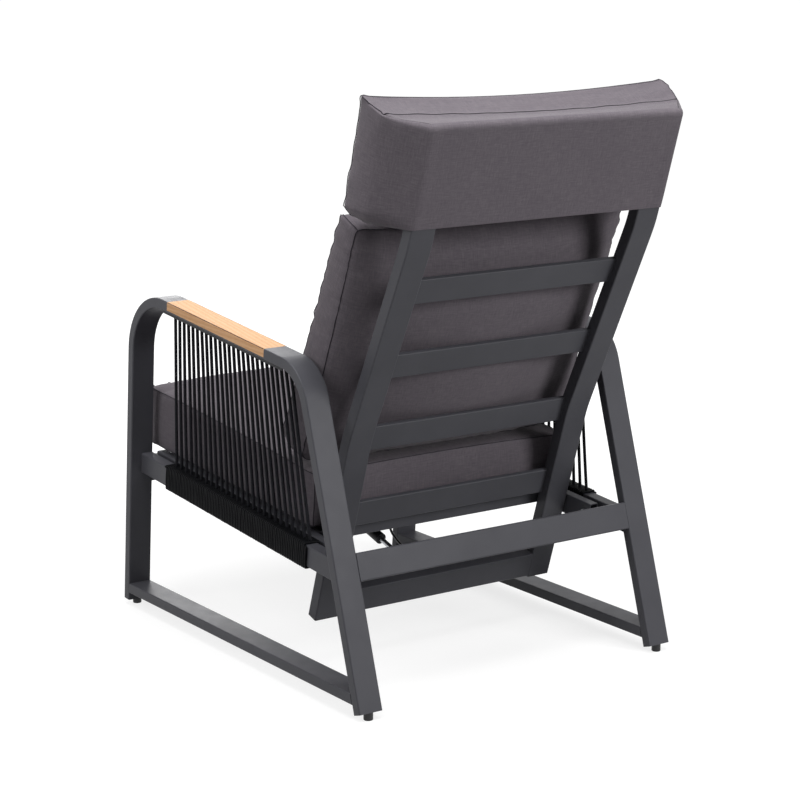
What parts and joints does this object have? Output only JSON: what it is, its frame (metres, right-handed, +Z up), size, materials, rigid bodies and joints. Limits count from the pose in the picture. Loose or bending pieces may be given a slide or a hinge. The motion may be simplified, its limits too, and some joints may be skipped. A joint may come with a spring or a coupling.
{
  "type": "reclining garden armchair",
  "caption": "Garden armchair with looped tube sides, teak arm pads, rope side panels, box cushions and a slatted back that reclines on a lockable gas spring.",
  "frame": {"origin": "centre of the chair's bounding box on the floor, back upright", "axes": "+X to the sitter's left, +Y to the rear, +Z up; the sitter faces -Y"},
  "size_m": [0.7, 0.9372, 1.0665],
  "materials": {
    "frame_paint": "matt anthracite powder coat",
    "teak": "oiled, fine straight grain",
    "rope": "braided, matt",
    "cushion_cloth": "woven, matt",
    "black_plastic": "matt",
    "cable_sheath": "satin",
    "bright_steel": "satin",
    "black_steel": "satin black"
  },
  "bodies": {
    "base": {"arm_pad_left": "teak", "arm_pad_right": "teak", "cable_hanger": "black_steel", "floor_rail_left": "frame_paint", "floor_rail_right": "frame_paint", "front_crossbar": "frame_paint", "front_ferrule": "bright_steel", "front_pins": "bright_steel", "glides": "black_plastic", "lever_bracket": "black_steel", "pivot_bolts": "bright_steel", "pivot_washers": "black_plastic", "rear_crossbar": "frame_paint", "release_cable": "cable_sheath", "rope_bar_left": "frame_paint", "rope_bar_right": "frame_paint", "rope_strands_left": "rope", "rope_strands_right": "rope", "rope_wrap_left": "rope", "rope_wrap_right": "rope", "seat_bolts": "bright_steel", "seat_cushion": "cushion_cloth", "seat_side_left": "frame_paint", "seat_side_right": "frame_paint", "seat_slat_1": "frame_paint", "seat_slat_2": "frame_paint", "seat_slat_3": "frame_paint", "seat_slat_4": "frame_paint", "seat_slat_5": "frame_paint", "seat_slat_6": "frame_paint", "seat_slat_7": "frame_paint", "seat_spacers": "frame_paint", "side_loop_left": "frame_paint", "side_loop_right": "frame_paint", "side_rail_left": "frame_paint", "side_rail_right": "frame_paint", "spring_front_bracket": "black_steel"},
    "back": {"back_cushion": "cushion_cloth", "back_lower_bar": "frame_paint", "back_slat_1": "frame_paint", "back_slat_2": "frame_paint", "back_slat_3": "frame_paint", "back_slat_4": "frame_paint", "back_slat_5": "frame_paint", "back_stile_left": "frame_paint", "back_stile_right": "frame_paint", "back_top_bar": "frame_paint", "headrest_hood": "cushion_cloth", "stile_end_plugs": "black_plastic", "pivot_bushes": "bright_steel", "spring_rear_bracket": "black_steel", "spring_rear_pin": "bright_steel"},
    "gas_cylinder": {"gas_cylinder": "black_steel", "cylinder_eye": "black_steel"},
    "gas_rod": {"gas_rod": "bright_steel", "release_head": "black_steel", "cable_stop": "black_steel", "rear_ferrule": "bright_steel"},
    "release_arm": {"release_arm": "bright_steel"},
    "release_lever": {"release_lever": "black_steel"}
  },
  "joints": [
    {"name": "back_recline", "type": "hinge", "parent": "base", "child": "back", "pos_m": [0, 0.14837, 0.24886], "axis": [-1, 0, 0], "range_deg": [0, 25], "deforming": ["release_cable"]},
    {"name": "cylinder_swing", "type": "hinge", "parent": "base", "child": "gas_cylinder", "pos_m": [0, -0.40221, 0.26511], "axis": [1, 0, 0], "range_deg": [0, 4]},
    {"name": "rod_slide", "type": "slide", "parent": "gas_cylinder", "child": "gas_rod", "axis": [0, -0.9615, 0.2749], "range_m": [0, 0.054]},
    {"name": "release_arm_turn", "type": "hinge", "parent": "gas_rod", "child": "release_arm", "pos_m": [0, 0.05998, 0.14022], "axis": [-1, 0, 0], "range_deg": [0, 9]},
    {"name": "lever_pull", "type": "hinge", "parent": "base", "child": "release_lever", "pos_m": [-0.205, -0.40271, 0.25913], "axis": [-1, 0, 0], "range_deg": [0, 12], "stiffness_Nm_per_rad": 1.2, "springref_deg": -11.46, "deforming": ["release_cable"]}
  ],
  "couplings": [
    {"joint": "cylinder_swing", "follows": "back_recline", "ratio": 0.1518},
    {"joint": "rod_slide", "follows": "back_recline", "m_per_rad": 0.12086},
    {"joint": "release_arm_turn", "follows": "lever_pull", "ratio": 0.7}
  ]
}
